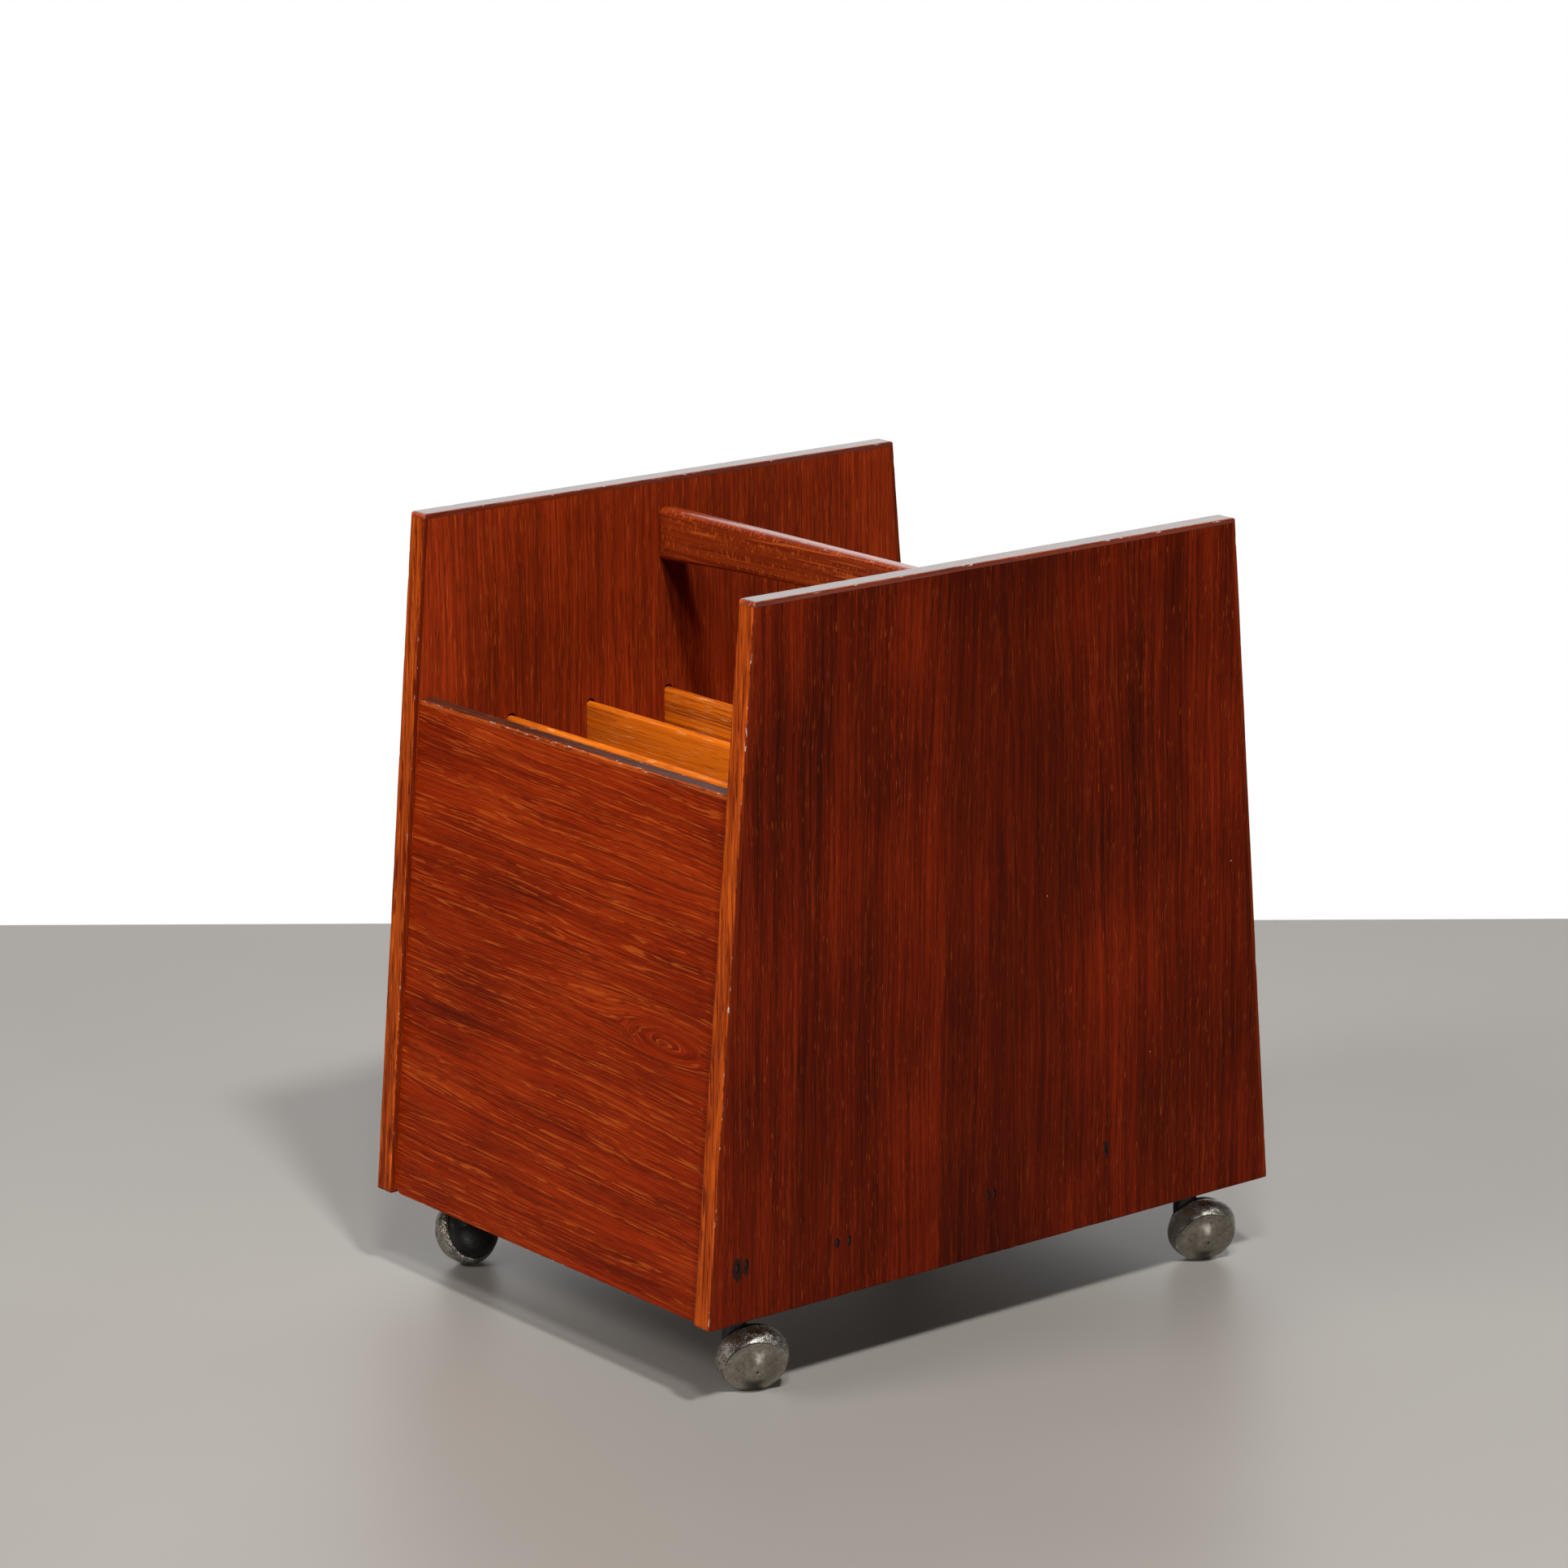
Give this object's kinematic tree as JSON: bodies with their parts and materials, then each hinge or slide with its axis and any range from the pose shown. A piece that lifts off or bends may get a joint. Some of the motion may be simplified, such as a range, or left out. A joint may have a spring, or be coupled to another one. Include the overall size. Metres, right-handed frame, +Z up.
{
  "type": "magazine rack",
  "caption": "Magazine rack on hooded ball casters: sloping side panels, front and back panels, upright dividers and a carrying handle.",
  "frame": {"origin": "on the floor under the middle of the rack, at the bottom centre of the bounding box", "axes": "+Z up, +X towards the right side panel, -Y towards the front panel"},
  "size_m": [0.3312, 0.438, 0.472],
  "materials": {
    "side_veneer": "oiled teak veneer, vertical grain, satin",
    "front_veneer": "oiled teak veneer, horizontal grain, satin",
    "edge_lipping": "solid teak edging, satin, worn arrises",
    "handle_wood": "solid teak with ray fleck, gloss lacquer",
    "divider_wood": "amber plywood, satin",
    "plain_wood": "unfinished pale wood",
    "dowel_wood": "beech dowel",
    "nail_iron": "dark oval nails with black stain",
    "pitted_chrome": "worn, pitted chrome",
    "dull_steel": "dull worn steel",
    "hood_black": "black semi-gloss paint",
    "bright_steel": "bright zinc plated steel"
  },
  "bodies": {
    "rack": {"right_side_panel": "side_veneer", "right_side_panel_front_lipping": "edge_lipping", "right_side_panel_back_lipping": "edge_lipping", "right_side_panel_top_lipping": "edge_lipping", "left_side_panel": "side_veneer", "left_side_panel_front_lipping": "edge_lipping", "left_side_panel_back_lipping": "edge_lipping", "left_side_panel_top_lipping": "edge_lipping", "front_panel": "front_veneer", "front_panel_top_lipping": "edge_lipping", "back_panel": "front_veneer", "back_panel_top_lipping": "edge_lipping", "bottom_board": "plain_wood", "front_caster_batten": "plain_wood", "back_caster_batten": "plain_wood", "divider_1": "divider_wood", "divider_2": "divider_wood", "divider_3": "divider_wood", "divider_4": "divider_wood", "divider_5": "divider_wood", "handle": "handle_wood", "handle_dowel_left_1": "dowel_wood", "handle_dowel_left_2": "dowel_wood", "handle_dowel_right_1": "dowel_wood", "handle_dowel_right_2": "dowel_wood", "right_nail_1": "nail_iron", "right_nail_2": "nail_iron", "right_nail_3": "nail_iron", "right_nail_4": "nail_iron", "right_nail_5": "nail_iron", "right_nail_6": "nail_iron", "right_nail_7": "nail_iron", "left_nail_1": "nail_iron", "left_nail_2": "nail_iron", "left_nail_3": "nail_iron", "left_nail_4": "nail_iron", "front_right_caster_socket": "bright_steel", "back_right_caster_socket": "bright_steel", "front_left_caster_socket": "bright_steel", "back_left_caster_socket": "bright_steel"},
    "front_right_swivel": {"front_right_caster_stem": "bright_steel", "front_right_caster_hood": "hood_black", "front_right_axle": "bright_steel"},
    "front_right_roller": {"front_right_wheel": "pitted_chrome", "front_right_wheel_dome": "dull_steel"},
    "back_right_swivel": {"back_right_caster_stem": "bright_steel", "back_right_caster_hood": "hood_black", "back_right_axle": "bright_steel"},
    "back_right_roller": {"back_right_wheel": "pitted_chrome", "back_right_wheel_dome": "dull_steel"},
    "front_left_swivel": {"front_left_caster_stem": "bright_steel", "front_left_caster_hood": "hood_black", "front_left_axle": "bright_steel"},
    "front_left_roller": {"front_left_wheel": "pitted_chrome", "front_left_wheel_dome": "dull_steel"},
    "back_left_swivel": {"back_left_caster_stem": "bright_steel", "back_left_caster_hood": "hood_black", "back_left_axle": "bright_steel"},
    "back_left_roller": {"back_left_wheel": "pitted_chrome", "back_left_wheel_dome": "dull_steel"}
  },
  "joints": [
    {"name": "front_right_swivel_turn", "type": "hinge", "parent": "rack", "child": "front_right_swivel", "pos_m": [0.1364, -0.1772, 0.06], "axis": [0, 0, 1], "continuous": true},
    {"name": "front_right_wheel_spin", "type": "hinge", "parent": "front_right_swivel", "child": "front_right_roller", "pos_m": [0.15138, -0.17348, 0.01723], "axis": [0.8343, -0.389, -0.3907], "continuous": true},
    {"name": "back_right_swivel_turn", "type": "hinge", "parent": "rack", "child": "back_right_swivel", "pos_m": [0.1364, 0.1772, 0.06], "axis": [0, 0, 1], "continuous": true},
    {"name": "back_right_wheel_spin", "type": "hinge", "parent": "back_right_swivel", "child": "back_right_roller", "pos_m": [0.15124, 0.18144, 0.01723], "axis": [0.8473, -0.3597, -0.3907], "continuous": true},
    {"name": "front_left_swivel_turn", "type": "hinge", "parent": "rack", "child": "front_left_swivel", "pos_m": [-0.1364, -0.1772, 0.06], "axis": [0, 0, 1], "continuous": true},
    {"name": "front_left_wheel_spin", "type": "hinge", "parent": "front_left_swivel", "child": "front_left_roller", "pos_m": [-0.14963, -0.16926, 0.01723], "axis": [-0.9115, -0.1281, -0.3907], "continuous": true},
    {"name": "back_left_swivel_turn", "type": "hinge", "parent": "rack", "child": "back_left_swivel", "pos_m": [-0.1364, 0.1772, 0.06], "axis": [0, 0, 1], "continuous": true},
    {"name": "back_left_wheel_spin", "type": "hinge", "parent": "back_left_swivel", "child": "back_left_roller", "pos_m": [-0.15071, 0.18297, 0.01723], "axis": [-0.8803, -0.2691, -0.3907], "continuous": true}
  ]
}
